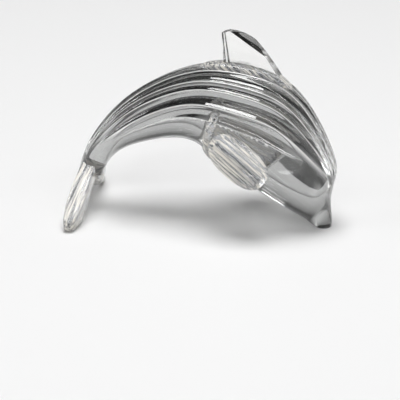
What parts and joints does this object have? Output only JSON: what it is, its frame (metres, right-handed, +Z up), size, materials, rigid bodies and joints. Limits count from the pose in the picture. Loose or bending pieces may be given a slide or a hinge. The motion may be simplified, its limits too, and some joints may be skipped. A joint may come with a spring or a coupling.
{
  "type": "dolphin figurine",
  "caption": "Clear crystal figurine of a leaping dolphin, arched over its stand surface on its fluke tips and beak, with long cut flutes along its flanks and faceted fins.",
  "frame": {"origin": "on the surface the figurine stands on, under the middle of its bounding box", "axes": "+X from the tail to the head, +Y to the dolphin's left flank, +Z up; the figure is the same on both sides of Y = 0"},
  "size_m": [0.158, 0.0846, 0.1205],
  "materials": {
    "crystal": "polished clear crystal, very faintly smoky in the thick of the body"
  },
  "bodies": {
    "root": {"dolphin": "crystal"}
  },
  "joints": []
}
